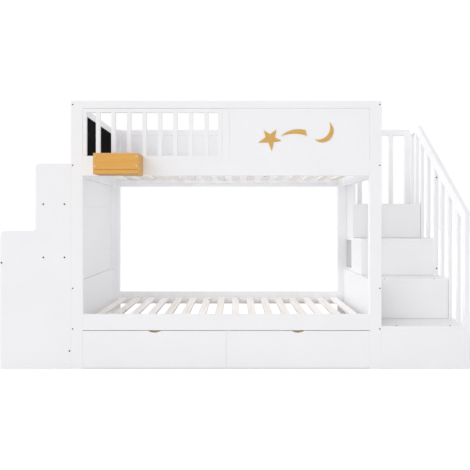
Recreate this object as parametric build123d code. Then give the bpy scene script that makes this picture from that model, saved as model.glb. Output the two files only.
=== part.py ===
from build123d import *
import math
import os

os.makedirs("parts", exist_ok=True)

# A white bunk bed on two levels, with a desk end, a staircase end and two rolling drawers.
# Millimetres. X runs along the bed from its centre, Y from its front face to the back,
# Z up from the floor. Every piece is moved at the end, so that the whole stands centred.

# Bed frame
bed_length = 2056.0
bed_depth = 980.0
post_width = 78.0
post_depth = 40.0
rail_thick = 22.0
end_thick = 28.0
edge_ease = 1.5

# Long boards, from the floor up: lower rail, upper board, guard, top rail
upper_board_bottom = 1276.0
upper_board_height = 103.0
guard_height = 343.0
top_rail_height = 48.0
lower_rail_bottom = 253.0
lower_rail_height = 105.5
end_board_height = 310.0

# Left end wall, thin boards between the end board and the upper end rail
wall_thick = 10.0
wall_first_height = 185.0
wall_second_height = 336.0
wall_groove = 3.0

# Front guard of the upper bunk
guard_thick = 20.0
guard_setback = 2.0
guard_rail_top = 27.0
guard_rail_bottom = 28.0
guard_left_stile = 24.0
guard_right_stile = 28.0
guard_play = 2.0
joint_play = 0.9
spindle_width = 27.0
spindle_count = 8
spindle_end_gap = 63.0
mid_stile_centre = -2.0
mid_stile_width = 46.0
panel_thick = 16.0
panel_setback = 2.0

# Star, comet tail and moon plates. The star's centre is placed from the lower left corner of
# the guard's panel, and every point of the outlines is given from that centre, in X and Z.
plate_thick = 4.0
plate_ease = 0.6
star_from_left = 265.5
star_from_bottom = 137.0
star_corners = [
    (-39.0, 59.5), (2.6, 33.1), (45.6, 64.8), (35.7, 11.2), (78.7, -9.3),
    (27.8, -19.2), (14.6, -78.7), (-7.3, -21.2), (-74.8, -21.2), (-25.8, 13.9),
]
comet_tip = (75.5, 21.0)
comet_top_mid = (160.5, 64.0)
comet_top_end = (238.5, 60.0)
comet_low_end = (246.5, 23.0)
comet_low_mid = (163.5, 38.0)
moon_high_tip = (396.0, 113.0)
moon_outer_mid = (414.2, 19.5)
moon_low_tip = (298.5, -0.5)
moon_inner_mid = (381.0, 25.3)

# Left end guard with its blackboard, right end guard with its way in
chalk_thick = 8.0
chalk_stile = 66.0
chalk_inset = 4.0
entry_y = 600.0
entry_post_depth = 40.0
end_spindle_count = 4

# Slats and the strips that carry them
slat_count = 16
slat_width = 58.0
slat_thick = 18.0
slat_inset = 11.0
slat_end_gap = 14.0
ledger_size = 25.0
lower_slat_rise = 58.0
upper_slat_rise = 72.0

# Drawers
drawer_gap = 0.5
drawer_top_gap = 4.5
drawer_bottom = 3.0
drawer_front_thick = 18.0
drawer_box_inset = 22.0
drawer_wall_thick = 12.0
drawer_box_depth = 632.0
drawer_box_bottom = 48.0
drawer_box_height = 150.0
drawer_floor_thick = 6.0
drawer_floor_rise = 6.0
notch_width = 82.0
notch_depth = 12.0
rim_thick = 1.5
rim_clearance = 0.2

# Drawer wheels
wheel_radius = 20.0
wheel_width = 14.0
axle_radius = 4.0
axle_clearance = 0.05
cheek_thick = 3.0
cheek_clearance = 0.5
cheek_width = 18.0
wheel_from_side = 45.0
wheel_from_ends = 60.0

# Desk end
desk_depth = 468.0
desk_side_thick = 18.0
desk_side_height = 910.0
desk_corner = 30.0
shelf_side_depth = 233.0
shelf_side_height = 1355.0
shelf_corner = 27.0
shelf_inner_corner = 22.0
desk_board_thick = 18.0
desk_centre_height = 735.0
shelf_centre_height = 1087.0
apron_height = 89.0
stretcher_height = 72.0
stretcher_centre_height = 116.0
desk_screw_out = 182.0
desk_screw_in = 42.0

# Staircase end
step_count = 4
step_rise = 279.3
step_run = 242.0
stair_width = 552.0
tread_thick = 24.0
riser_thick = 18.0
riser_play = 0.9
riser_groove = 2.2
stair_side_thick = 18.0
outer_side_thick = 24.0
side_above_tread = 5.0
niche_front_margin = 60.0
niche_back_margin = 12.0
niche_above_tread = 20.0
niche_height = 234.0
niche_depth = 240.0
niche_board = 12.0

# Handrail of the staircase
handrail_thick = 30.0
handrail_depth = 68.0
newel_depth = 40.0
newel_height = 1035.0
corner_post_depth = 52.0
top_run = 144.4
stair_spindle = 24.0
stair_spindle_from_riser = 111.0
landing_spindle_width = 36.0
landing_spindle_count = 3
landing_stile = 44.0

# Hanging tray
tray_from_end = 192.0
tray_width = 285.0
tray_depth = 142.0
tray_below_board = 2.0
tray_height = 131.0
tray_base_thick = 26.0
tray_wall_thick = 14.0
tray_groove = 2.5
tray_front_play = 1.0
tray_screw_from_end = 12.0
tray_screw_from_top = 20.0
tray_screw_from_base = 22.0

# Bolts and screws
bolt_radius = 4.5
screw_radius = 5.5
head_height = 1.5
socket_across = 5.0
socket_depth = 0.9
bolt_from_edge = 12.0
upper_board_bolt_share = 2 / 3
end_board_bolt_from_top = 33.0
lower_bolt_from_bottom = 9.0
tread_screw_from_front = 16.0
tread_screw_from_bed = 104.0
tread_screw_from_rail = 91.0
mid_post_bolt_from_top = 66.0
mid_post_bolt_from_base = 55.0

# Sizes that follow from the ones above
half_length = bed_length / 2
inner_x = half_length - post_width
back_y = bed_depth - rail_thick
post_back_y = bed_depth - post_depth
upper_board_top = upper_board_bottom + upper_board_height
top_rail_bottom = upper_board_top + guard_height
bed_height = top_rail_bottom + top_rail_height
lower_rail_top = lower_rail_bottom + lower_rail_height
end_board_top = lower_rail_bottom + end_board_height
end_x = half_length - end_thick
panel_left = mid_stile_centre + mid_stile_width / 2
panel_right = inner_x - joint_play
guard_top = top_rail_bottom - joint_play
tray_left = -half_length + tray_from_end
drawer_top = lower_rail_bottom - drawer_top_gap
desk_x = -half_length - desk_depth
shelf_x = -half_length - shelf_side_depth
stair_inner_x = half_length
stair_outer_x = half_length + stair_width
guard_outer_x = stair_outer_x + handrail_thick
corner_front_y = bed_depth - corner_post_depth
landing_height = step_count * step_rise

AXES = {"X": Axis.X, "Y": Axis.Y, "Z": Axis.Z}

# The middle of the whole object on the floor becomes the origin
origin_x = (desk_x + guard_outer_x) / 2
origin_y = (bed_depth + head_height - tray_depth) / 2


def block(x0, x1, y0, y1, z0, z1):
    """A plain box between two corners."""
    centre = ((x0 + x1) / 2, (y0 + y1) / 2, (z0 + z1) / 2)
    return Box(x1 - x0, y1 - y0, z1 - z0).moved(Location(centre))


def board(x0, x1, y0, y1, z0, z1, run, ease=edge_ease):
    """A board whose four edges along its run are eased."""
    plain = block(x0, x1, y0, y1, z0, z1)
    return fillet(plain.edges().filter_by(AXES[run]), ease)


def front_plate(outline, y0, y1):
    """A plate with an outline drawn in X and Z, from y0 back to y1."""
    face = Plane.XZ.offset(-y1) * make_face(outline)
    return extrude(face, amount=y1 - y0)


def side_plate(points, x0, x1):
    """A plate with a straight-sided outline drawn in Y and Z, from x0 to x1."""
    face = Plane.YZ.offset(x0) * make_face(Polyline(*points, close=True))
    return extrude(face, amount=x1 - x0)


def eased_plate(plate, run):
    """A flat plate whose edges on its two broad faces are eased."""
    ends = plate.faces().filter_by(AXES[run])
    return fillet(ends.edges(), edge_ease)


def evenly(first, last, count):
    """Places spread evenly from the first to the last."""
    pitch = (last - first) / (count - 1)
    return [first + pitch * k for k in range(count)]


def save(node, *pieces):
    """Moves the pieces of one node to the object's frame and writes them."""
    move = Location((-origin_x, -origin_y, 0))
    solids = [s.moved(move) for piece in pieces for s in piece.solids()]
    shape = solids[0] if len(solids) == 1 else Compound(solids)
    export_step(shape, f"parts/{node}.step")


# Posts, full height, wide face to the front
def posts(y0, y1):
    return [
        board(side * half_length - (post_width if side > 0 else 0),
              side * half_length + (post_width if side < 0 else 0), y0, y1, 0, bed_height, "Z")
        for side in (-1, 1)
    ]


save("front_posts", *posts(0, post_depth))
save("back_posts", *posts(post_back_y, bed_depth))

# Long boards between the posts, flush with the posts' outer faces
long_boards = {
    "top_rail": (top_rail_bottom, bed_height),
    "upper_board": (upper_board_bottom, upper_board_top),
    "lower_rail": (lower_rail_bottom, lower_rail_top),
}
for name, (z0, z1) in long_boards.items():
    save(f"front_{name}", board(-inner_x, inner_x, 0, rail_thick, z0, z1, "X"))
    save(f"back_{name}", board(-inner_x, inner_x, back_y, bed_depth, z0, z1, "X"))

# Boards across the two ends. The right top rail stops at the way in.
entry_end = entry_y + entry_post_depth


def end_board(side, y1, z0, z1):
    near, far = sorted((side * end_x, side * half_length))
    return board(near, far, post_depth, y1, z0, z1, "Y")


save("end_top_rails",
     end_board(-1, post_back_y, top_rail_bottom, bed_height),
     end_board(1, entry_y, top_rail_bottom, bed_height))
save("end_upper_rails",
     *[end_board(s, post_back_y, upper_board_bottom, upper_board_top) for s in (-1, 1)])
save("end_lower_boards",
     *[end_board(s, post_back_y, lower_rail_bottom, end_board_top) for s in (-1, 1)])

# Thin boards that close the left end between the two bunks
wall_joints = [
    end_board_top,
    end_board_top + wall_first_height,
    end_board_top + wall_first_height + wall_second_height,
    upper_board_bottom,
]
save("left_wall_boards", *[
    board(-half_length, -half_length + wall_thick, post_depth, post_back_y, low, high, "Y",
          wall_groove)
    for low, high in zip(wall_joints, wall_joints[1:])
])

# Front guard, left part: a frame of two rails and two stiles with turned-out spindles
guard_y0 = guard_setback
guard_y1 = guard_setback + guard_thick
mid_stile_left = mid_stile_centre - mid_stile_width / 2
guard_right = mid_stile_left - guard_play
guard_low = upper_board_top + guard_rail_bottom
guard_high = top_rail_bottom - guard_rail_top
frame_left = -inner_x + guard_left_stile
frame_right = guard_right - guard_right_stile
save("guard_frame",
     board(-inner_x, guard_right, guard_y0, guard_y1, upper_board_top, guard_low, "X"),
     board(-inner_x, guard_right, guard_y0, guard_y1, guard_high, guard_top, "X"),
     board(-inner_x, frame_left, guard_y0, guard_y1, guard_low, guard_high, "Z"),
     board(frame_right, guard_right, guard_y0, guard_y1, guard_low, guard_high, "Z"))

first_spindle = frame_left + spindle_end_gap + spindle_width / 2
last_spindle = frame_right - spindle_end_gap - spindle_width / 2
save("guard_spindles", *[
    board(x - spindle_width / 2, x + spindle_width / 2, guard_y0, guard_y1,
          guard_low, guard_high, "Z")
    for x in evenly(first_spindle, last_spindle, spindle_count)
])

save("guard_mid_stile",
     board(mid_stile_left, panel_left, 0, rail_thick, upper_board_top, guard_top, "Z"))

# Front guard, right part: one closed panel that carries the plates
panel_y0 = panel_setback
panel_y1 = panel_setback + panel_thick
save("guard_panel",
     block(panel_left, panel_right, panel_y0, panel_y1, upper_board_top, guard_top))

star_x = panel_left + star_from_left
star_z = upper_board_top + star_from_bottom


def sky(point):
    """A point given from the star's centre, in X and Z."""
    return (star_x + point[0], star_z + point[1])


star = Polyline(*[sky(corner) for corner in star_corners], close=True)
comet = (ThreePointArc(sky(comet_tip), sky(comet_top_mid), sky(comet_top_end))
         + Line(sky(comet_top_end), sky(comet_low_end))
         + ThreePointArc(sky(comet_low_end), sky(comet_low_mid), sky(comet_tip)))
moon = (ThreePointArc(sky(moon_high_tip), sky(moon_outer_mid), sky(moon_low_tip))
        + ThreePointArc(sky(moon_low_tip), sky(moon_inner_mid), sky(moon_high_tip)))
for name, outline in {"star_plate": star, "comet_plate": comet, "moon_plate": moon}.items():
    plate = front_plate(outline, panel_y0 - plate_thick, panel_y0)
    front_edges = plate.faces().sort_by(Axis.Y)[0].edges()
    save(name, chamfer(front_edges, plate_ease))

# Back guard of the upper bunk, a closed panel in the middle of the rails' thickness
back_panel_y = back_y + (rail_thick - panel_thick) / 2
save("back_guard_panel",
     block(-inner_x, inner_x, back_panel_y, back_panel_y + panel_thick,
           upper_board_top, top_rail_bottom))

# Left end guard: a blackboard between two stiles
chalk_y0 = post_depth + chalk_stile
chalk_y1 = post_back_y - chalk_stile
chalk_x = -end_x - chalk_inset
save("chalkboard",
     block(chalk_x - chalk_thick, chalk_x, chalk_y0, chalk_y1, upper_board_top, top_rail_bottom))
save("chalkboard_stiles", *[
    board(-half_length, -end_x, y0, y0 + chalk_stile, upper_board_top, top_rail_bottom, "Z")
    for y0 in (post_depth, chalk_y1)
])

# Right end guard: spindles up to the post beside the way in
end_gap = (entry_y - post_depth - end_spindle_count * spindle_width) / (end_spindle_count + 1)
end_mid_x = half_length - end_thick / 2
end_spindles = [
    board(end_mid_x - guard_thick / 2, end_mid_x + guard_thick / 2,
          post_depth + end_gap + k * (end_gap + spindle_width),
          post_depth + (k + 1) * (end_gap + spindle_width),
          upper_board_top, top_rail_bottom, "Z")
    for k in range(end_spindle_count)
]
save("end_guard", *end_spindles,
     board(end_x, half_length, entry_y, entry_end, upper_board_top, bed_height, "Z"))

# Slats on their strips
slat_x = inner_x - slat_inset - slat_width / 2
slat_rows = {
    "lower": lower_rail_bottom + lower_slat_rise,
    "upper": upper_board_bottom + upper_slat_rise,
}
ledgers = []
for name, top in slat_rows.items():
    under = top - slat_thick
    save(f"{name}_slats", *[
        board(x - slat_width / 2, x + slat_width / 2, rail_thick + slat_end_gap,
              back_y - slat_end_gap, under, top, "Y")
        for x in evenly(-slat_x, slat_x, slat_count)
    ])
    for y0 in (rail_thick, back_y - ledger_size):
        ledgers.append(
            board(-inner_x, inner_x, y0, y0 + ledger_size, under - ledger_size, under, "X"))
save("slat_ledgers", *ledgers)


# Drawers
def notch_outline(centre, half, depth, radius_cut):
    """The smile-shaped finger notch below the top edge, made smaller by radius_cut."""
    radius = (half * half + depth * depth) / (2 * depth)
    middle = drawer_top - depth + radius
    smaller = radius - radius_cut
    reach = math.sqrt(smaller ** 2 - (middle - drawer_top) ** 2)
    arc = ThreePointArc((centre - reach, drawer_top), (centre, middle - smaller),
                        (centre + reach, drawer_top))
    return arc + Line((centre + reach, drawer_top), (centre - reach, drawer_top))


def drawer(name, x0, x1):
    """One rolling drawer: front, box, notch rim, wheel brackets and two pairs of wheels."""
    middle = (x0 + x1) / 2
    half = notch_width / 2
    front = board(x0, x1, 0, drawer_front_thick, drawer_bottom, drawer_top, "X")
    notch = front_plate(notch_outline(middle, half, notch_depth, 0), 0, drawer_front_thick)
    save(f"{name}_front", front - notch)
    rim = front_plate(notch_outline(middle, half, notch_depth, rim_clearance),
                      0, drawer_front_thick)
    hole = front_plate(notch_outline(middle, half, notch_depth, rim_clearance + rim_thick),
                       0, drawer_front_thick)
    save(f"{name}_notch_rim", rim - hole)

    bx0 = x0 + drawer_box_inset
    bx1 = x1 - drawer_box_inset
    by0 = drawer_front_thick
    by1 = drawer_front_thick + drawer_box_depth
    bz0 = drawer_box_bottom
    bz1 = drawer_box_bottom + drawer_box_height
    wall = drawer_wall_thick
    save(f"{name}_walls",
         board(bx0, bx0 + wall, by0, by1, bz0, bz1, "Y"),
         board(bx1 - wall, bx1, by0, by1, bz0, bz1, "Y"),
         board(bx0 + wall, bx1 - wall, by1 - wall, by1, bz0, bz1, "X"))
    floor_z = bz0 + drawer_floor_rise
    save(f"{name}_floor",
         block(bx0 + wall, bx1 - wall, by0, by1 - wall, floor_z, floor_z + drawer_floor_thick))

    # Each wheel turns on a steel pin between two cheeks under the drawer's floor
    brackets = []
    gap = wheel_width / 2 + cheek_clearance
    for pair, y in (("front", by0 + wheel_from_ends), ("rear", by1 - wheel_from_ends)):
        wheels = []
        for x in (bx0 + wheel_from_side, bx1 - wheel_from_side):
            turn = Location((x, y, wheel_radius), (0, 90, 0))
            disc = fillet(Cylinder(wheel_radius, wheel_width).edges(), edge_ease)
            wheels.append((disc - Cylinder(axle_radius + axle_clearance, wheel_width)).moved(turn))
            brackets.append(Cylinder(axle_radius, 2 * gap).moved(turn))
            for side in (-1, 1):
                c0, c1 = sorted((x + side * gap, x + side * (gap + cheek_thick)))
                low = wheel_radius - cheek_width / 2
                brackets.append(block(c0, c1, y - cheek_width / 2, y + cheek_width / 2,
                                      low, floor_z))
        save(f"{name}_{pair}_wheels", *wheels)
    save(f"{name}_wheel_brackets", *brackets)


drawer("drawer_left", -inner_x + drawer_gap, -drawer_gap)
drawer("drawer_right", drawer_gap, inner_x - drawer_gap)

# Desk end: two stepped sides, with the corners of both tiers rounded
desk_corners = [
    (-half_length, 0), (desk_x, 0), (desk_x, desk_side_height), (shelf_x, desk_side_height),
    (shelf_x, shelf_side_height), (-half_length, shelf_side_height),
]
desk_outline = FilletPolyline(
    *desk_corners, radius=[0, 0, desk_corner, shelf_inner_corner, shelf_corner, 0], close=True)
desk_side_fronts = (0, bed_depth - desk_side_thick)
save("desk_sides", *[
    eased_plate(front_plate(desk_outline, y0, y0 + desk_side_thick), "Y")
    for y0 in desk_side_fronts
])

between = (desk_side_thick, bed_depth - desk_side_thick)
half_board = desk_board_thick / 2
desk_top_z = desk_centre_height + half_board
apron_x = desk_x + desk_board_thick
save("desk_top", board(apron_x, -half_length, *between,
                       desk_centre_height - half_board, desk_top_z, "Y"))
save("desk_shelf", board(shelf_x, -half_length, *between,
                         shelf_centre_height - half_board, shelf_centre_height + half_board, "Y"))
save("desk_rails",
     board(desk_x, apron_x, *between, desk_top_z - apron_height, desk_top_z, "Y"),
     board(-half_length - desk_board_thick, -half_length, *between,
           stretcher_centre_height - stretcher_height / 2,
           stretcher_centre_height + stretcher_height / 2, "Y"))

# Staircase: risers and treads run from the bed's end to the outer side
riser_y = [n * step_run for n in range(step_count)]
tread_z = [(n + 1) * step_rise for n in range(step_count)]
stair_back = bed_depth - riser_thick
risers = []
treads = []
for n in range(step_count):
    low = tread_z[n - 1] + riser_play if n else 0
    risers.append(board(stair_inner_x, stair_outer_x, riser_y[n], riser_y[n] + riser_thick,
                        low, tread_z[n] - tread_thick, "X", riser_groove))
    last = riser_y[n + 1] + riser_thick if n + 1 < step_count else bed_depth
    treads.append(board(stair_inner_x, stair_outer_x, riser_y[n], last,
                        tread_z[n] - tread_thick, tread_z[n], "X"))
save("stair_risers", *risers)
save("stair_treads", *treads)
save("stair_back_panel",
     block(stair_inner_x, stair_outer_x, stair_back, bed_depth,
           0, landing_height - tread_thick))


def stepped(front, back, above):
    """The staircase's stepped outline in Y and Z. Its tops lie above the treads' undersides."""
    points = [(front, 0)]
    for n in range(step_count):
        step_y = riser_y[n] + riser_thick if n else front
        points.append((step_y, tread_z[n] + above))
        next_y = riser_y[n + 1] + riser_thick if n + 1 < step_count else back
        points.append((next_y, tread_z[n] + above))
    return points + [(back, 0)]


# The inner side has a niche that opens to the lower bunk, with its own floor, top and back
last_riser = riser_y[-1]
niche_y0 = last_riser + niche_front_margin
niche_y1 = stair_back - niche_back_margin
niche_z0 = tread_z[1] + niche_above_tread
niche_z1 = niche_z0 + niche_height
inner_face = stair_inner_x + stair_side_thick
inner_side = side_plate(stepped(riser_thick, stair_back, -tread_thick), stair_inner_x, inner_face)
inner_side -= block(stair_inner_x, inner_face, niche_y0, niche_y1, niche_z0, niche_z1)
landing_side = board(stair_inner_x, inner_face, last_riser, back_y,
                     landing_height, upper_board_bottom, "Y")
save("stair_inner_side", inner_side, landing_side)
niche_x1 = inner_face + niche_depth
save("niche_box",
     block(inner_face, niche_x1, niche_y0, niche_y1, niche_z0 - niche_board, niche_z0),
     block(inner_face, niche_x1, niche_y0, niche_y1, niche_z1, niche_z1 + niche_board),
     block(niche_x1, niche_x1 + niche_board, niche_y0, niche_y1,
           niche_z0 - niche_board, niche_z1 + niche_board),
     block(inner_face, niche_x1, niche_y0 - niche_board, niche_y0, niche_z0, niche_z1),
     block(inner_face, niche_x1, niche_y1, niche_y1 + niche_board, niche_z0, niche_z1))

outer_side = side_plate(stepped(newel_depth, corner_front_y, side_above_tread),
                        stair_outer_x, stair_outer_x + outer_side_thick)
save("stair_outer_side", outer_side)

# The handrail climbs from the front newel and turns level before the back corner post
slope_end = corner_front_y - top_run
slope = (bed_height - newel_height) / slope_end
handrail_drop = handrail_depth * math.sqrt(1 + slope * slope)
kink_y = (top_rail_bottom - newel_height + handrail_drop) / slope


def rail_top(y):
    return newel_height + slope * y


def rail_under(y):
    return min(rail_top(y) - handrail_drop, top_rail_bottom)


def upright(x0, x1, y0, y1, z0):
    """A spindle or post that stands on z0 and is cut to the handrail's underside."""
    kink = [(kink_y, top_rail_bottom)] if y0 < kink_y < y1 else []
    tops = [(y0, rail_under(y0))] + kink + [(y1, rail_under(y1))]
    plain = side_plate([(y0, z0)] + tops + [(y1, z0)], x0, x1)
    return fillet(plain.edges().filter_by(Axis.Z), edge_ease)


handrail = side_plate(
    [(newel_depth, rail_under(newel_depth)), (newel_depth, rail_top(newel_depth)),
     (slope_end, bed_height), (kink_y, top_rail_bottom)], stair_outer_x, guard_outer_x)
level_rail = side_plate(
    [(slope_end, bed_height), (kink_y, top_rail_bottom),
     (corner_front_y, top_rail_bottom), (corner_front_y, bed_height)],
    stair_outer_x, guard_outer_x)
save("handrail", eased_plate(handrail, "X"), eased_plate(level_rail, "X"))

newel = side_plate([(0, 0), (0, rail_top(0)), (newel_depth, rail_top(newel_depth)),
                    (newel_depth, 0)], stair_outer_x, guard_outer_x)
mid_post_y = riser_y[2] - stair_spindle
mid_post = upright(stair_outer_x, guard_outer_x, mid_post_y, riser_y[2],
                   tread_z[1] + side_above_tread)
corner_post = board(stair_outer_x, guard_outer_x, corner_front_y, bed_depth, 0, bed_height, "Z")
save("stair_posts", fillet(newel.edges().filter_by(Axis.Z), edge_ease), mid_post, corner_post)

stair_spindles = []
spindle_x = (stair_outer_x + guard_outer_x - stair_spindle) / 2
for n in range(step_count):
    if n + 1 < step_count:
        places = [riser_y[n] + stair_spindle_from_riser]
    else:
        places = [(riser_y[n] + riser_thick + corner_front_y - stair_spindle) / 2]
    if n % 2 == 0:
        places.append(riser_y[n + 1] + riser_thick - stair_spindle)
    for y in places:
        stair_spindles.append(upright(spindle_x, spindle_x + stair_spindle, y, y + stair_spindle,
                                      tread_z[n] + side_above_tread))
save("stair_spindles", *stair_spindles)

# Back guard of the landing: rail, stile beside the corner post, and wide spindles
landing_gap = (stair_width - landing_stile - landing_spindle_count * landing_spindle_width) \
    / (landing_spindle_count + 1)
landing_pitch = landing_gap + landing_spindle_width
landing = [
    board(stair_inner_x, stair_outer_x, back_y, bed_depth, top_rail_bottom, bed_height, "X"),
    board(stair_outer_x - landing_stile, stair_outer_x, back_y, bed_depth,
          landing_height, top_rail_bottom, "Z"),
]
for k in range(landing_spindle_count):
    x = stair_inner_x + landing_gap + k * landing_pitch
    landing.append(board(x, x + landing_spindle_width, back_y, bed_depth,
                         landing_height, top_rail_bottom, "Z"))
save("landing_guard", *landing)

# Hanging tray on the front board
tray_right = tray_left + tray_width
tray_low = upper_board_bottom - tray_below_board
tray_floor = tray_low + tray_base_thick
tray_top = tray_low + tray_height
tray_inner = (tray_left + tray_wall_thick, tray_right - tray_wall_thick)
tray_inner_y = (-tray_depth + tray_wall_thick, -tray_wall_thick)
save("tray_base",
     board(tray_left, tray_right, -tray_depth, 0, tray_low, tray_floor, "X", tray_groove))
save("tray_walls",
     board(tray_left, tray_right, -tray_depth, tray_inner_y[0],
           tray_floor + tray_front_play, tray_top, "X", tray_groove),
     board(tray_left, tray_right, tray_inner_y[1], 0, tray_floor, tray_top, "X"),
     board(tray_left, tray_inner[0], *tray_inner_y, tray_floor, tray_top, "Y"),
     board(tray_inner[1], tray_right, *tray_inner_y, tray_floor, tray_top, "Y"))


# Bolt and screw heads with a hexagon socket
def head(place, axis, radius=screw_radius):
    """A low round head that stands on a face at place and looks along axis."""
    disc = Cylinder(radius, head_height, align=(Align.CENTER, Align.CENTER, Align.MIN))
    disc = chamfer(disc.edges().group_by(Axis.Z)[-1], head_height / 3)
    socket = extrude(RegularPolygon(socket_across / 2, 6, major_radius=False), amount=socket_depth)
    disc -= socket.moved(Location((0, 0, head_height - socket_depth)))
    return disc.moved(Plane(origin=place, z_dir=axis).location)


def both_faces(points, radius=screw_radius):
    """Heads on the front face and, mirrored, on the back face."""
    front = [head((x, 0, z), (0, -1, 0), radius) for x, z in points]
    return front + [head((x, bed_depth, z), (0, 1, 0), radius) for x, z in points]


bolt_heights = [
    (top_rail_bottom + bed_height) / 2,
    upper_board_bottom + upper_board_height * upper_board_bolt_share,
    end_board_top - end_board_bolt_from_top,
    lower_rail_bottom + lower_bolt_from_bottom,
]
save("frame_bolts", *both_faces([
    (side * (half_length - bolt_from_edge), z) for side in (-1, 1) for z in bolt_heights
], bolt_radius))

desk_points = [
    (-half_length - reach, z)
    for reach in (desk_screw_in, desk_screw_out)
    for z in (desk_centre_height, shelf_centre_height)
]
desk_points.append((desk_x + half_board, desk_top_z - apron_height / 2))
desk_points.append((-half_length - half_board, stretcher_centre_height))
tread_heads = [
    head((x, y + tread_screw_from_front, z), (0, 0, 1))
    for y, z in zip(riser_y, tread_z)
    for x in (stair_inner_x + tread_screw_from_bed, stair_outer_x - tread_screw_from_rail)
]
mid_x = (stair_outer_x + guard_outer_x) / 2
mid_heads = [
    head((mid_x, mid_post_y, z), (0, -1, 0))
    for z in (rail_under(mid_post_y) - mid_post_bolt_from_top,
              tread_z[1] + mid_post_bolt_from_base)
]
save("panel_screws", *both_faces(desk_points), *tread_heads, *mid_heads)

tray_heads = [
    head((x, -tray_depth, z), (0, -1, 0), bolt_radius)
    for x in (tray_left + tray_screw_from_end, tray_right - tray_screw_from_end)
    for z in (tray_top - tray_screw_from_top, tray_floor + tray_screw_from_base)
]
save("tray_screws", *tray_heads)

print("middle of the footprint in the bed's own coordinates", origin_x, origin_y)
print("handrail slope in degrees", round(math.degrees(math.atan(slope)), 2))
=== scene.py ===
# %% [markdown]
# # A white bunk bed with a desk end, a staircase end and two rolling drawers
#
# The real bed is flat-pack furniture: smooth boards under satin white paint, bare pine slats,
# a few pieces in ochre, and a blackboard at the head of the upper bunk. Its boards, slats,
# wheels and bolts come ready made at their real size. This lesson gives them their finishes,
# adds the small turned and stamped pieces, and sets up the camera and the studio.

# %% Load the bed
import bmesh
import bpy
import math
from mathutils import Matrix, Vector


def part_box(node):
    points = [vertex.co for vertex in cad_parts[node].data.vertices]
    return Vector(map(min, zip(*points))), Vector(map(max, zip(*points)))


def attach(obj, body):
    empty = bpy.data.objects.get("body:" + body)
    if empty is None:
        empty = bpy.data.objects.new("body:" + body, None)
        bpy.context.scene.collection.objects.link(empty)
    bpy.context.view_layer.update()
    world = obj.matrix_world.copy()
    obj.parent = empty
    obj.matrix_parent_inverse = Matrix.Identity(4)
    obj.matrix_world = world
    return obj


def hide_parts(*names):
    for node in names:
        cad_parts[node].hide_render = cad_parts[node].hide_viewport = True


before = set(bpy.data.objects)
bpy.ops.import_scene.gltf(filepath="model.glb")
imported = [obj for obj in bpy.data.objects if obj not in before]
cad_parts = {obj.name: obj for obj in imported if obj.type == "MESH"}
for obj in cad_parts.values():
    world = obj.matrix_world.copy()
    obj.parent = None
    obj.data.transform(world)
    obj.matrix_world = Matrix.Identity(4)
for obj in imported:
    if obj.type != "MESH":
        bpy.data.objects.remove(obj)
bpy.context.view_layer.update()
print("pieces that come ready made:", len(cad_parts))

# %% [markdown]
# ## The camera
#
# The photo looks straight at the bed's front, so upright edges stay upright and long rails stay
# level. Such a picture can be had by tilting a camera and correcting it later, or by keeping the
# camera level and shifting the lens, as an architect's camera does. The shift is used here: it
# needs no correction. The distance is the one at which the far posts look as much smaller than
# the near ones as they do in the photo.

# %% Place the camera
PHOTO_SIDE = 470
FOCAL_PIXELS = 451.7
SENSOR_WIDTH = 36.0
EYE = (0.011, -3.4078, 0.979)
VANISHING_PIXEL = (236.5, 220.5)

camera_data = bpy.data.cameras.new("photo_camera")
camera_data.sensor_width = SENSOR_WIDTH
camera_data.lens = SENSOR_WIDTH * FOCAL_PIXELS / PHOTO_SIDE
camera_data.shift_x = (PHOTO_SIDE / 2 - VANISHING_PIXEL[0]) / PHOTO_SIDE
camera_data.shift_y = (VANISHING_PIXEL[1] - PHOTO_SIDE / 2) / PHOTO_SIDE
camera = bpy.data.objects.new("photo_camera", camera_data)
camera.location = EYE
camera.rotation_euler = (math.radians(90), 0, 0)
bpy.context.scene.collection.objects.link(camera)
bpy.context.scene.camera = camera
print("lens", round(camera_data.lens, 2), "mm, shift", round(camera_data.shift_y, 4))

# %% [markdown]
# ## The studio
#
# White furniture needs less light than it seems to: paint at nine tenths white turns into a blank
# shape as soon as it is lit too strongly. The catalogue picture has hardly any shadow, even deep
# inside the lower bunk, so it was lit from all round: an even sky, a soft box that fills the
# left half of it, a weak broad lamp, and a fill lamp beside the camera, which reaches every front
# face that the camera sees. Their strengths were found by rendering the bed under one light at a
# time and adding those pictures in the shares that come nearest to the photo's tones. The
# backdrop is white for the camera alone, so it adds no light to the bed.

# %% A small helper for node trees
def add_node(tree, kind, **inputs):
    """Adds a shader node and sets its inputs by name or number."""
    made = tree.nodes.new(kind)
    for key, value in inputs.items():
        socket = int(key[1:]) if key[0] == "n" and key[1:].isdigit() else key.replace("_", " ")
        made.inputs[socket].default_value = value
    return made


def math_node(made, kind, a, b=0.0):
    """One sum on two values."""
    step = add_node(made, "ShaderNodeMath")
    step.operation = kind
    for socket, value in ((step.inputs[0], a), (step.inputs[1], b)):
        if isinstance(value, bpy.types.NodeSocket):
            made.links.new(value, socket)
        else:
            socket.default_value = value
    return step.outputs[0]


# %% Sky, brighter where the soft box stands
SKY_TINT = (0.953, 0.950, 0.985, 1)
SKY_BASE = 0.675
SOFT_BOX_TOWARDS = (-1, 0, 0)
SOFT_BOX_STRENGTH = 1.20
PLAIN_WHITE = (1, 1, 1, 1)

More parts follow.
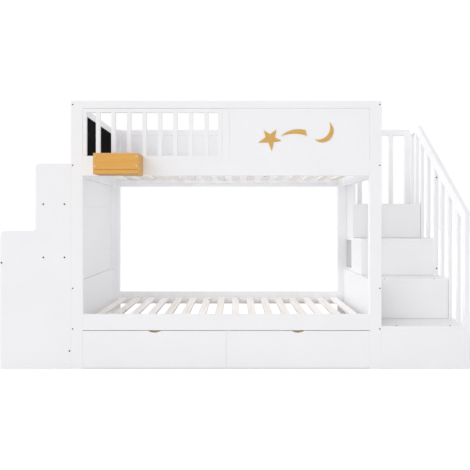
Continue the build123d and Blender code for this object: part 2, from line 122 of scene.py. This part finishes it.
world = bpy.data.worlds.new("studio_sky")
bpy.context.scene.world = world
world.use_nodes = True
sky = world.node_tree
sky.nodes.clear()
sky_place = add_node(sky, "ShaderNodeTexCoord").outputs["Generated"]
facing = add_node(sky, "ShaderNodeVectorMath")
facing.operation = "DOT_PRODUCT"
facing.inputs[1].default_value = SOFT_BOX_TOWARDS
sky.links.new(sky_place, facing.inputs[0])
box_side = math_node(sky, "MAXIMUM", facing.outputs["Value"], 0.0)
box_glow = math_node(sky, "MULTIPLY", box_side, SOFT_BOX_STRENGTH)
even_light = add_node(sky, "ShaderNodeBackground", Color=SKY_TINT, Strength=SKY_BASE)
box_light = add_node(sky, "ShaderNodeBackground", Color=PLAIN_WHITE)
sky.links.new(box_glow, box_light.inputs["Strength"])
sky_light = add_node(sky, "ShaderNodeAddShader")
sky.links.new(even_light.outputs[0], sky_light.inputs[0])
sky.links.new(box_light.outputs[0], sky_light.inputs[1])
sky_white = add_node(sky, "ShaderNodeBackground", Color=PLAIN_WHITE, Strength=1.0)
sky_ray = add_node(sky, "ShaderNodeLightPath")
sky_mirror = math_node(sky, "ADD", sky_ray.outputs["Is Glossy Ray"],
                       sky_ray.outputs["Is Transmission Ray"])
sky_seen = math_node(sky, "MAXIMUM", sky_mirror, sky_ray.outputs["Is Camera Ray"])
sky_mix = add_node(sky, "ShaderNodeMixShader")
sky_out = add_node(sky, "ShaderNodeOutputWorld")
sky.links.new(sky_seen, sky_mix.inputs[0])
sky.links.new(sky_light.outputs[0], sky_mix.inputs[1])
sky.links.new(sky_white.outputs[0], sky_mix.inputs[2])
sky.links.new(sky_mix.outputs[0], sky_out.inputs[0])
bpy.context.scene.view_settings.view_transform = "Standard"
print("even light", SKY_BASE, "and soft box", SOFT_BOX_STRENGTH)

# %% The broad lamp at the front left
LAMP_TOWARDS = (-0.676, -0.567, 0.469)
LAMP_STRENGTH = 0.22
LAMP_ANGLE = 35

lamp_data = bpy.data.lights.new("broad_lamp", "SUN")
lamp_data.energy = LAMP_STRENGTH
lamp_data.angle = math.radians(LAMP_ANGLE)
lamp = bpy.data.objects.new("broad_lamp", lamp_data)
lamp.rotation_euler = Vector(LAMP_TOWARDS).to_track_quat("Z", "Y").to_euler()
bpy.context.scene.collection.objects.link(lamp)
print("lamp elevation", round(math.degrees(math.asin(Vector(LAMP_TOWARDS).normalized().z))))

# %% [markdown]
# A fill lamp in a real studio stands far back, where its light hardly weakens between the bed's
# front and its back. A lamp that far away would throw shadows that the photo doesn't show. Here
# it stands beside the camera, so its shadows hide behind what casts them, and its weakening with
# distance is switched off. The photo's bunks are as bright inside as a room with white walls,
# which an open studio can't give, so one large lamp hangs unseen in each bunk. The shade in the
# photo's bunks is faintly lilac, so these two lamps are a little blue.

# %% Fill lamps
FILL_LAMPS = {
    "camera_fill": dict(place=EYE, strength=4.25, radius=0.25, colour=(1.0, 0.99, 0.92)),
    "lower_bunk_fill": dict(place=(-0.06, 0.05, 0.84), strength=6.1, radius=0.35,
                            colour=(0.80, 0.87, 1.0)),
    "upper_bunk_fill": dict(place=(-0.30, 0.0, 1.62), strength=3.0, radius=0.30,
                            colour=(0.92, 0.84, 1.0)),
}


def fill_lamp(name, place, strength, radius, colour):
    """A round lamp whose light doesn't weaken with distance."""
    data = bpy.data.lights.new(name, "POINT")
    data.energy = strength
    data.color = colour
    data.shadow_soft_size = radius
    data.use_nodes = True
    fall = add_node(data.node_tree, "ShaderNodeLightFalloff", Strength=1.0)
    glow = next(node for node in data.node_tree.nodes if node.type == "EMISSION")
    data.node_tree.links.new(fall.outputs["Constant"], glow.inputs["Strength"])
    made = bpy.data.objects.new(name, data)
    made.location = place
    made.visible_camera = False
    made.visible_glossy = False
    bpy.context.scene.collection.objects.link(made)


for name, settings in FILL_LAMPS.items():
    fill_lamp(name, **settings)
print("fill lamps:", sorted(FILL_LAMPS))

# %% [markdown]
# The floor is one pale sheet. It could be lit until it burns out to white, but that light would
# bounce up under the bed. Instead the camera is told that the sheet is a little paler than it
# is, and what bounces keeps the plain value. The bed's shadow stays on it either way.

# %% Floor
FLOOR_REACH = 40.0
FLOOR_SEEN = 1.18
FLOOR_BOUNCE = 0.84
FLOOR_DROP = 0.0006

floor_mesh = bpy.data.meshes.new("studio_floor")
corners = [(-FLOOR_REACH, -FLOOR_REACH), (FLOOR_REACH, -FLOOR_REACH),
           (FLOOR_REACH, FLOOR_REACH), (-FLOOR_REACH, FLOOR_REACH)]
floor_mesh.from_pydata([(x, y, 0) for x, y in corners], [], [(0, 1, 2, 3)])
floor = bpy.data.objects.new("studio_floor", floor_mesh)
floor.location.z = -FLOOR_DROP
bpy.context.scene.collection.objects.link(floor)
floor_paint = bpy.data.materials.new("studio_floor")
floor_paint.use_nodes = True
tree = floor_paint.node_tree
tree.nodes.clear()
floor_ray = add_node(tree, "ShaderNodeLightPath")
floor_tone = add_node(tree, "ShaderNodeMapRange")
floor_tone.inputs["To Min"].default_value = FLOOR_BOUNCE
floor_tone.inputs["To Max"].default_value = FLOOR_SEEN
floor_skin = add_node(tree, "ShaderNodeBsdfDiffuse")
floor_out = add_node(tree, "ShaderNodeOutputMaterial")
tree.links.new(floor_ray.outputs["Is Camera Ray"], floor_tone.inputs["Value"])
tree.links.new(floor_tone.outputs["Result"], floor_skin.inputs["Color"])
tree.links.new(floor_skin.outputs[0], floor_out.inputs[0])
floor_mesh.materials.append(floor_paint)
print("floor spans", 2 * FLOOR_REACH, "m")

# %% [markdown]
# ## Finishes
#
# Every finish here is worked out from the place on the piece, in metres, so it has the same
# scale on every board and moves with the piece that wears it. A photo of wood wrapped round each
# board would repeat and stretch, and it would need unwrapping first.

# %% The start of every finish
def start_finish(name, roughness, specular):
    """An empty finish: its tree, its shader, and the place on the piece in metres."""
    paint = bpy.data.materials.new(name)
    paint.use_nodes = True
    made = paint.node_tree
    made.nodes.clear()
    shader = add_node(made, "ShaderNodeBsdfPrincipled", Roughness=roughness)
    shader.inputs["Specular IOR Level"].default_value = specular
    out = add_node(made, "ShaderNodeOutputMaterial")
    made.links.new(shader.outputs[0], out.inputs[0])
    place = add_node(made, "ShaderNodeTexCoord").outputs["Object"]
    return paint, made, shader, place


def stretched(made, place, run, along, across):
    """The place, drawn out along a board's run, so that a pattern turns into grain."""
    scale = [across, across, across]
    scale["XYZ".index(run)] = along
    mapping = add_node(made, "ShaderNodeMapping", Scale=scale)
    made.links.new(place, mapping.inputs["Vector"])
    return mapping.outputs[0]


def noise(made, place, scale, detail, roughness=0.5):
    """A cloudy pattern from 0 to 1."""
    cloud = add_node(made, "ShaderNodeTexNoise", Scale=scale, Detail=detail, Roughness=roughness)
    made.links.new(place, cloud.inputs["Vector"])
    return cloud.outputs["Fac"]


def ramp(made, value, stops):
    """Colours along a value, given as (position, colour) pairs."""
    made_ramp = add_node(made, "ShaderNodeValToRGB")
    elements = made_ramp.color_ramp.elements
    while len(elements) < len(stops):
        elements.new(0.5)
    for element, (position, colour) in zip(elements, stops):
        element.position = position
        element.color = (*colour, 1)
    made.links.new(value, made_ramp.inputs[0])
    return made_ramp.outputs[0]


def blend_colour(made, kind, factor, a, b):
    """Mixes two colours; factor is a number or another node's output."""
    mix = made.nodes.new("ShaderNodeMix")
    mix.data_type = "RGBA"
    mix.blend_type = kind
    for socket, value in ((mix.inputs[0], factor), (mix.inputs[6], a), (mix.inputs[7], b)):
        if isinstance(value, bpy.types.NodeSocket):
            made.links.new(value, socket)
        else:
            socket.default_value = value
    return mix.outputs[2]


def bump(made, shader, height, strength, depth):
    """Raises the surface by a pattern. Depth is in metres."""
    raised = add_node(made, "ShaderNodeBump", Strength=strength, Distance=depth)
    made.links.new(height, raised.inputs["Height"])
    made.links.new(raised.outputs[0], shader.inputs["Normal"])


# %% [markdown]
# ### Satin white paint
#
# The boards are sprayed white. Sprayed paint is never quite flat: it dries with a fine pebble,
# and on softwood the grain still rises under it in long low ridges. Both are far too small to
# model, so they are bump. The colour drifts by a hundredth or two from place to place, which
# the eye reads as paint and not as plastic. There is one paint for each direction that a board
# may run, so that the ridges follow the board.

# %% White paint
WHITE = (0.874, 0.873, 0.876)
WHITE_SHADE = (0.858, 0.858, 0.862)
PEBBLE_SHARE = 0.35
GLOSS_LEAST = 0.37
GLOSS_DRIFT = 0.10


def white_paint(run):
    """White paint on a board that runs along X, Y or Z."""
    paint, made, shader, place = start_finish("white_paint_" + run.lower(),
                                               roughness=0.42, specular=0.35)
    drift = noise(made, place, scale=3.0, detail=3)
    made.links.new(ramp(made, drift, [(0.35, WHITE_SHADE), (0.65, WHITE)]),
                   shader.inputs["Base Color"])
    board_place = stretched(made, place, run, along=2.0, across=90.0)
    grain = noise(made, board_place, scale=1.0, detail=4)
    pebble = noise(made, place, scale=900.0, detail=2)
    height = math_node(made, "ADD", grain, math_node(made, "MULTIPLY", pebble, PEBBLE_SHARE))
    bump(made, shader, height, strength=0.22, depth=0.0006)
    gloss_drift = math_node(made, "MULTIPLY", drift, GLOSS_DRIFT)
    made.links.new(math_node(made, "ADD", gloss_drift, GLOSS_LEAST), shader.inputs["Roughness"])
    return paint


white = {run: white_paint(run) for run in "XYZ"}
print("white paints:", [m.name for m in white.values()])

# %% [markdown]
# ### Bare pine
#
# The slats are planed pine with nothing on it: pale cream earlywood, narrow tan latewood lines
# along the slat, and here and there a knot. The lines are a cloud pattern stretched forty times
# along the run. Each slat is cut from another board, so the pattern jumps from slat to slat:
# the place across the bed, divided by the slats' spacing and rounded, picks a number for each
# slat, and that number moves the pattern and tints the wood.

# %% Pine
PINE_PALE = (0.970, 0.955, 0.930)
PINE_MID = (0.955, 0.930, 0.890)
PINE_LINE = (0.880, 0.800, 0.700)
KNOT = (0.33, 0.165, 0.075)
DULLEST_SLAT = (0.93, 0.91, 0.87)
LINES_SHARE = 0.62
BANDS_SHARE = 0.38
slat_low, slat_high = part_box("lower_slats")
SLAT_COUNT = 16
SLAT_WIDTH = 0.058
SLAT_MARGIN = 0.03
LEVELS_PER_METRE = 1.5
SLATS_PER_LEVEL = 37.0
SLAT_SHIFT = (7.0, 3.0, 5.0)
slat_pitch = (slat_high.x - slat_low.x - SLAT_WIDTH) / (SLAT_COUNT - 1)


def bare_pine(run):
    """Planed pine, another piece of wood for each slat."""
    paint, made, shader, place = start_finish("bare_pine_" + run.lower(),
                                               roughness=0.55, specular=0.25)
    parts = add_node(made, "ShaderNodeSeparateXYZ")
    made.links.new(place, parts.inputs[0])
    from_first = math_node(made, "SUBTRACT", parts.outputs["X"], slat_low.x - SLAT_MARGIN)
    slat_number = math_node(made, "FLOOR", math_node(made, "DIVIDE", from_first, slat_pitch))
    level = math_node(made, "FLOOR",
                      math_node(made, "MULTIPLY", parts.outputs["Z"], LEVELS_PER_METRE))
    seed = math_node(made, "ADD", slat_number,
                     math_node(made, "MULTIPLY", level, SLATS_PER_LEVEL))
    lot = add_node(made, "ShaderNodeTexWhiteNoise")
    lot.noise_dimensions = "1D"
    made.links.new(seed, lot.inputs["W"])
    moved = add_node(made, "ShaderNodeVectorMath")
    moved.operation = "MULTIPLY_ADD"
    moved.inputs[1].default_value = SLAT_SHIFT
    made.links.new(lot.outputs["Color"], moved.inputs[0])
    made.links.new(place, moved.inputs[2])
    wood_place = moved.outputs[0]
    lines = noise(made, stretched(made, wood_place, run, along=2.2, across=85.0),
                  scale=1.0, detail=5, roughness=0.6)
    bands = noise(made, stretched(made, wood_place, run, along=0.8, across=22.0),
                  scale=1.0, detail=2)
    figure = math_node(made, "ADD", math_node(made, "MULTIPLY", lines, LINES_SHARE),
                       math_node(made, "MULTIPLY", bands, BANDS_SHARE))
    colour = ramp(made, figure, [(0.36, PINE_PALE), (0.50, PINE_MID), (0.66, PINE_LINE)])
    cells = add_node(made, "ShaderNodeTexVoronoi", Scale=1.0, Randomness=1.0)
    knot_place = stretched(made, wood_place, run, along=3.2, across=7.5)
    made.links.new(knot_place, cells.inputs["Vector"])
    knot = ramp(made, cells.outputs["Distance"],
                [(0.05, (1, 1, 1)), (0.075, (0.35, 0.35, 0.35)), (0.11, (0, 0, 0))])
    colour = blend_colour(made, "MIX", knot, colour, (*KNOT, 1))
    tint = ramp(made, lot.outputs["Value"], [(0.0, DULLEST_SLAT), (1.0, (1, 1, 1))])
    colour = blend_colour(made, "MULTIPLY", 1.0, colour, tint)
    made.links.new(colour, shader.inputs["Base Color"])
    bump(made, shader, lines, strength=0.30, depth=0.0005)
    return paint


pine = bare_pine("Y")
print("slat spacing", round(slat_pitch * 1000, 1), "mm")

# %% [markdown]
# ### Ochre paint
#
# The star, its tail, the moon, the hanging tray and the finger notches are painted ochre. The
# coat is thin, so the wood's lines show through it as slightly darker streaks. The underside of
# the tray's base is darkened as well, and that darkening is painted shade.

# %% Ochre
TRAY_OCHRE = ((0.755, 0.405, 0.098), (0.680, 0.345, 0.075))
PLATE_OCHRE = ((0.670, 0.405, 0.115), (0.600, 0.345, 0.090))
UNDERSIDE_SHADE_SHARE = 0.70


def ochre_paint(name, coat, run, underside=None):
    """Ochre paint over wood. Below the height underside the colour is darkened, as painted shade on
    the underside.
    """
    paint, made, shader, place = start_finish(name, roughness=0.48, specular=0.30)
    streaks = noise(made, stretched(made, place, run, along=3.0, across=110.0),
                    scale=1.0, detail=4, roughness=0.6)
    colour = ramp(made, streaks, [(0.35, coat[0]), (0.70, coat[1])])
    # painted shade: below the given height the ochre is multiplied darker, to stand for the shade
    # under the board
    if underside is not None:
        parts = add_node(made, "ShaderNodeSeparateXYZ")
        made.links.new(place, parts.inputs[0])
        below = math_node(made, "LESS_THAN", parts.outputs["Z"], underside)
        dark = (UNDERSIDE_SHADE_SHARE, UNDERSIDE_SHADE_SHARE, UNDERSIDE_SHADE_SHARE, 1)
        shade = blend_colour(made, "MIX", below, PLAIN_WHITE, dark)
        colour = blend_colour(made, "MULTIPLY", 1.0, colour, shade)
    made.links.new(colour, shader.inputs["Base Color"])
    bump(made, shader, streaks, strength=0.25, depth=0.0006)
    return paint


tray_low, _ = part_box("tray_base")
# painted shade: the tray base's underside and the lowest 1.2 mm of its edges are darkened as if in
# shadow
SHADED_UNDERSIDE_DEPTH = 0.0012
tray_paint = ochre_paint("ochre_tray", TRAY_OCHRE, "X")
base_paint_with_shade = ochre_paint("ochre_base_shaded_underside", TRAY_OCHRE, "X", tray_low.z + SHADED_UNDERSIDE_DEPTH)
plate_paint = ochre_paint("ochre_plate", PLATE_OCHRE, "X")
print("tray's underside at", round(tray_low.z, 4), "m")

# %% [markdown]
# ### Blackboard, metal and plastic
#
# Blackboard paint is nearly black and quite matt, and a board that has been wiped keeps a thin
# haze of chalk in broad arcs. The bolts are blackened steel, the tray's screws and the wheel
# pins bright zinc, and the wheels moulded grey plastic.

# %% Blackboard
BOARD_BLACK = (0.0060, 0.0060, 0.0064)
CHALK_HAZE = (0.0120, 0.0120, 0.0126)


def blackboard():
    """Matt black paint with a thin haze of wiped chalk."""
    paint, made, shader, place = start_finish("blackboard", roughness=0.85, specular=0.02)
    wipes = noise(made, stretched(made, place, "Y", along=3.0, across=9.0),
                  scale=1.0, detail=5, roughness=0.6)
    haze = ramp(made, wipes, [(0.40, BOARD_BLACK), (0.80, CHALK_HAZE)])
    made.links.new(haze, shader.inputs["Base Color"])
    bump(made, shader, noise(made, place, scale=1200.0, detail=2), strength=0.20, depth=0.0004)
    return paint


board_black = blackboard()
print("blackboard:", board_black.name)


# %% Metal and plastic
WORN_METAL = 0.8
DULL_PLASTIC = 0.85


def clouded(made, shader, cloud, colour, share):
    """Colours a piece between its own colour and a dimmer share of it."""
    dim = tuple(c * share for c in colour)
    made.links.new(ramp(made, cloud, [(0.3, dim), (0.7, colour)]), shader.inputs["Base Color"])


def metal(name, colour, roughness):
    """Plated or blackened steel, a little worn."""
    paint, made, shader, place = start_finish(name, roughness, specular=0.5)
    shader.inputs["Metallic"].default_value = 1.0
    clouded(made, shader, noise(made, place, scale=350.0, detail=3), colour, WORN_METAL)
    return paint


def moulded_plastic(name, colour):
    """Plastic with the faint grain of its mould."""
    paint, made, shader, place = start_finish(name, roughness=0.5, specular=0.4)
    clouded(made, shader, noise(made, place, scale=60.0, detail=3), colour, DULL_PLASTIC)
    bump(made, shader, noise(made, place, scale=1500.0, detail=2), strength=0.15, depth=0.0003)
    return paint


# %% [markdown]
# The drawers' floors aren't seen in the photo. Furniture of this kind has thin brown hardboard
# there: pressed fibre with a smooth face, slightly blotched.

# %% Hardboard
HARDBOARD_PALE = (0.385, 0.245, 0.140)
HARDBOARD_DARK = (0.290, 0.175, 0.095)
FIBRE_SHARE = 0.6
BLOTCH_SHARE = 0.4


def brown_board():
    """Hardboard: pressed brown fibre with a smooth face."""
    paint, made, shader, place = start_finish("brown_board", roughness=0.62, specular=0.25)
    fibre = noise(made, place, scale=420.0, detail=4, roughness=0.7)
    blotches = noise(made, place, scale=9.0, detail=3)
    mixed = math_node(made, "ADD", math_node(made, "MULTIPLY", fibre, FIBRE_SHARE),
                      math_node(made, "MULTIPLY", blotches, BLOTCH_SHARE))
    made.links.new(ramp(made, mixed, [(0.35, HARDBOARD_PALE), (0.65, HARDBOARD_DARK)]),
                   shader.inputs["Base Color"])
    bump(made, shader, fibre, strength=0.25, depth=0.0003)
    return paint


hardboard = brown_board()
dark_steel = metal("blackened_steel", (0.055, 0.055, 0.06), 0.45)
zinc = metal("zinc_plate", (0.78, 0.78, 0.80), 0.32)
wheel_grey = moulded_plastic("wheel_plastic", (0.20, 0.20, 0.21))
tyre_grey = moulded_plastic("wheel_tyre", (0.055, 0.055, 0.058))
# painted shade: near-black plastic for the thin discs that stand for the holes in the web
hole_shade_black = moulded_plastic("wheel_hole_shade", (0.018, 0.018, 0.019))
print("finishes made:", sorted(m.name for m in bpy.data.materials))

# %% [markdown]
# ## Dress the boards
#
# Each ready-made piece gets the finish that fits its place in the bed. Long boards run along X,
# end boards along Y, posts and spindles upright. A piece keeps its shape: only its finish is set.

# %% Which finish goes where
finish_of = {}
runs_x = ["front_top_rail", "back_top_rail", "front_upper_board", "back_upper_board",
          "front_lower_rail", "back_lower_rail", "guard_frame", "guard_panel",
          "back_guard_panel", "stair_risers", "stair_treads", "niche_box"]
runs_y = ["end_top_rails", "end_upper_rails", "end_lower_boards", "left_wall_boards",
          "desk_top", "desk_shelf", "desk_rails", "handrail"]
runs_z = ["front_posts", "back_posts", "guard_spindles", "guard_mid_stile", "chalkboard_stiles",
          "end_guard", "desk_sides", "stair_back_panel", "stair_inner_side", "stair_outer_side",
          "stair_posts", "stair_spindles", "landing_guard"]
for run, names in (("X", runs_x), ("Y", runs_y), ("Z", runs_z)):
    finish_of.update({name: white[run] for name in names})
for side in ("left", "right"):
    finish_of.update({
        f"drawer_{side}_front": white["X"],
        f"drawer_{side}_walls": pine,
        f"drawer_{side}_floor": hardboard,
        f"drawer_{side}_notch_rim": plate_paint,
        f"drawer_{side}_wheel_brackets": zinc,
        f"drawer_{side}_front_wheels": wheel_grey,
        f"drawer_{side}_rear_wheels": wheel_grey,
    })
finish_of.update({
    "lower_slats": pine, "upper_slats": pine, "slat_ledgers": white["X"],
    "chalkboard": board_black, "tray_base": base_paint_with_shade, "tray_walls": tray_paint,
    "star_plate": plate_paint, "comet_plate": plate_paint, "moon_plate": plate_paint,
    "frame_bolts": dark_steel, "panel_screws": dark_steel, "tray_screws": zinc,
})

for name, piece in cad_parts.items():
    piece.data.materials.clear()
    piece.data.materials.append(finish_of[name])
print("pieces without a finish:", sorted(set(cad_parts) - set(finish_of)))

# %% [markdown]
# ## Castor wheels
#
# The drawers roll on moulded wheels. A real one is turned in the mould: a crowned tyre so that
# only its middle touches the floor, a sunk web, a raised hub round the steel pin, and holes in
# the web that save plastic. A profile spun round the axle gives all but the holes. The holes are
# painted shade: five thin near-black discs on each face of the web stand for their insides.
# Each pair replaces the plain wheels of one axle and turns with them.

# %% Spin a profile round an axle
WHEEL_RADIUS = 0.020
WHEEL_WIDTH = 0.014
PIN_RADIUS = 0.0041
SPIN_STEPS = 64


def spun(name, profile, steps=SPIN_STEPS):
    """A closed ring: a profile of (along the axle, from the axle) spun round X."""
    mesh = bpy.data.meshes.new(name)
    shape = bmesh.new()
    loops = []
    for k in range(steps):
        turn = 2 * math.pi * k / steps
        loops.append([shape.verts.new((x, r * math.cos(turn), r * math.sin(turn)))
                      for x, r in profile])
    count = len(profile)
    for a, b in zip(loops, loops[1:] + loops[:1]):
        for i in range(count):
            j = (i + 1) % count
            shape.faces.new((a[i], a[j], b[j], b[i]))
    bmesh.ops.recalc_face_normals(shape, faces=shape.faces)
    shape.to_mesh(mesh)
    shape.free()
    for face in mesh.polygons:
        face.use_smooth = True
    return mesh


def arc(centre, radius, start, end, steps):
    """Points on an arc, angles in degrees."""
    points = []
    for k in range(steps + 1):
        turn = math.radians(start + (end - start) * k / steps)
        points.append((centre[0] + radius * math.cos(turn), centre[1] + radius * math.sin(turn)))
    return points


half = WHEEL_WIDTH / 2
CROWN = 0.0004
SHOULDER = 0.0018
SHOULDER_STEPS = 6
TYRE_INNER = 0.0155
TYRE_LAP = 0.0002
RIM_DROP = 0.0012
RIM_SLOPE = 0.0008
HUB_OUTER = 0.0078
HUB_BEVEL = 0.0005
HUB_ROUND = 0.0006
HUB_SLOPE = 0.0008
WEB_SINK = 0.0026

shoulder_height = WHEEL_RADIUS - CROWN - SHOULDER
tyre_outline = [(-half, TYRE_INNER)]
tyre_outline += arc((-half + SHOULDER, shoulder_height), SHOULDER, 180, 90, SHOULDER_STEPS)
tyre_outline += [(0, WHEEL_RADIUS)]
tyre_outline += arc((half - SHOULDER, shoulder_height), SHOULDER, 90, 0, SHOULDER_STEPS)
tyre_outline += [(half, TYRE_INNER)]
web_face = [
    (half - 2 * TYRE_LAP, TYRE_INNER + TYRE_LAP), (half - RIM_SLOPE, TYRE_INNER - RIM_DROP),
    (half - WEB_SINK, TYRE_INNER - RIM_DROP - RIM_SLOPE), (half - WEB_SINK, HUB_OUTER + HUB_SLOPE),
    (half - HUB_ROUND, HUB_OUTER), (half, HUB_OUTER - HUB_BEVEL), (half, PIN_RADIUS),
]
web_outline = [(-x, r) for x, r in web_face] + web_face[::-1]
print("points on the wheel's outlines:", len(tyre_outline), "and", len(web_outline))


# %% Build the wheel pairs
POCKETS = 5
POCKET_RADIUS = 0.0016
POCKET_FROM_AXLE = 0.0107
POCKET_HALF_DEPTH = 0.0002
POCKET_STEPS = 20
TYRE_SLOT, WEB_SLOT, HOLE_SHADE_SLOT = 1, 0, 2


def add_mesh(target, mesh, offset, material_index):
    """Copies a mesh into a bmesh at an offset."""
    first = len(target.faces)
    part = bmesh.new()
    part.from_mesh(mesh)
    bmesh.ops.translate(part, verts=part.verts, vec=offset)
    moved = bpy.data.meshes.new("moved")
    part.to_mesh(moved)
    part.free()
    target.from_mesh(moved)
    bpy.data.meshes.remove(moved)
    target.faces.ensure_lookup_table()
    for face in target.faces[first:]:
        face.material_index = material_index


def wheel_pair(node):
    """Two spun wheels in the place of one axle's plain ones."""
    low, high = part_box(node)
    shape = bmesh.new()
    tyre = spun("tyre", tyre_outline)
    web = spun("web", web_outline)
    hole_disc = spun("hole_disc", [
        (-POCKET_HALF_DEPTH, POCKET_HALF_DEPTH), (-POCKET_HALF_DEPTH, POCKET_RADIUS),
        (POCKET_HALF_DEPTH, POCKET_RADIUS), (POCKET_HALF_DEPTH, POCKET_HALF_DEPTH),
    ], POCKET_STEPS)
    middle_y = (low.y + high.y) / 2
    for x in (low.x + half, high.x - half):
        centre = Vector((x, middle_y, low.z + WHEEL_RADIUS))
        add_mesh(shape, tyre, centre, TYRE_SLOT)
        add_mesh(shape, web, centre, WEB_SLOT)
        # painted shade: five thin near-black discs on each face of the web stand for its holes
        for side in (-1, 1):
            for k in range(POCKETS):
                turn = 2 * math.pi * k / POCKETS
                spot = Vector((side * (half - WEB_SINK), POCKET_FROM_AXLE * math.cos(turn),
                               POCKET_FROM_AXLE * math.sin(turn)))
                add_mesh(shape, hole_disc, centre + spot, HOLE_SHADE_SLOT)
    mesh = bpy.data.meshes.new(node + "_moulded")
    shape.to_mesh(mesh)
    shape.free()
    for face in mesh.polygons:
        face.use_smooth = True
    mesh.materials.append(wheel_grey)
    mesh.materials.append(tyre_grey)
    mesh.materials.append(hole_shade_black)
    pair = bpy.data.objects.new(node + "_moulded", mesh)
    bpy.context.scene.collection.objects.link(pair)
    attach(pair, node)
    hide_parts(node)
    return pair


for side in ("left", "right"):
    for axle in ("front", "rear"):
        pair = wheel_pair(f"drawer_{side}_{axle}_wheels")
        print(pair.name, "has", len(pair.data.vertices), "points")

# %% [markdown]
# ## Slat screws
#
# Every slat is held to the strips under it by one countersunk screw at each end. The real screw's head
# lies just under the wood's face, with a cross recess. Here the head is a shallow cone that
# stands a fifth of a millimetre proud, and its recess is a cross of twelve corners that narrows
# towards its floor.

# %% Screws through the slats
SCREW_RADIUS = 0.0038
SCREW_PROUD = 0.0002
SCREW_FROM_END = 0.0115
RECESS_REACH = 0.0021
RECESS_WAIST = 0.0006
RECESS_DEPTH = 0.0009
HEAD_SIDES = 24
HEAD_FOOT = 0.98
HEAD_FACE = 0.93
RECESS_FLOOR = 0.35
CROSS_ARMS = 4


def cross_head(shape, place):
    """A flat round head with a cross recess, looking up."""
    corners = []
    for k in range(CROSS_ARMS):
        turn = 2 * math.pi * k / CROSS_ARMS
        along = Vector((math.cos(turn), math.sin(turn), 0))
        aside = Vector((-along.y, along.x, 0))
        corners += [along * RECESS_REACH - aside * RECESS_WAIST,
                    along * RECESS_REACH + aside * RECESS_WAIST,
                    (along + aside) * RECESS_WAIST]
    rim = []
    for k in range(HEAD_SIDES):
        turn = 2 * math.pi * (k - 1) / HEAD_SIDES
        rim.append(Vector((math.cos(turn), math.sin(turn), 0)) * SCREW_RADIUS)
    top = Vector((0, 0, SCREW_PROUD))
    foot = [shape.verts.new(place + v * HEAD_FOOT - top) for v in rim]
    edge = [shape.verts.new(place + v) for v in rim]
    face = [shape.verts.new(place + v * HEAD_FACE + top) for v in rim]
    lip = [shape.verts.new(place + v + top) for v in corners]
    sunk = [shape.verts.new(place + v * RECESS_FLOOR + top - Vector((0, 0, RECESS_DEPTH)))
            for v in corners]
    for low, high in ((foot, edge), (edge, face)):
        for k in range(HEAD_SIDES):
            j = (k + 1) % HEAD_SIDES
            shape.faces.new((low[k], low[j], high[j], high[k]))
    for k in range(len(corners)):
        j = (k + 1) % len(corners)
        rim_step = (face[2 * k], face[2 * k + 1], face[(2 * k + 2) % HEAD_SIDES])
        shape.faces.new((*rim_step, lip[j], lip[k]))
        shape.faces.new((lip[k], lip[j], sunk[j], sunk[k]))
    shape.faces.new(sunk)
    shape.faces.new(list(reversed(foot)))


for row in ("lower", "upper"):
    low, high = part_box(f"{row}_slats")
    shape = bmesh.new()
    for k in range(SLAT_COUNT):
        x = low.x + SLAT_WIDTH / 2 + k * slat_pitch
        for y in (low.y + SCREW_FROM_END, high.y - SCREW_FROM_END):
            cross_head(shape, Vector((x, y, high.z)))
    bmesh.ops.recalc_face_normals(shape, faces=shape.faces)
    mesh = bpy.data.meshes.new(f"{row}_slat_screws")
    shape.to_mesh(mesh)
    shape.free()
    mesh.materials.append(zinc)
    screws = bpy.data.objects.new(f"{row}_slat_screws", mesh)
    bpy.context.scene.collection.objects.link(screws)
    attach(screws, "frame")
    print(screws.name, "holds", SLAT_COUNT * 2, "screws")
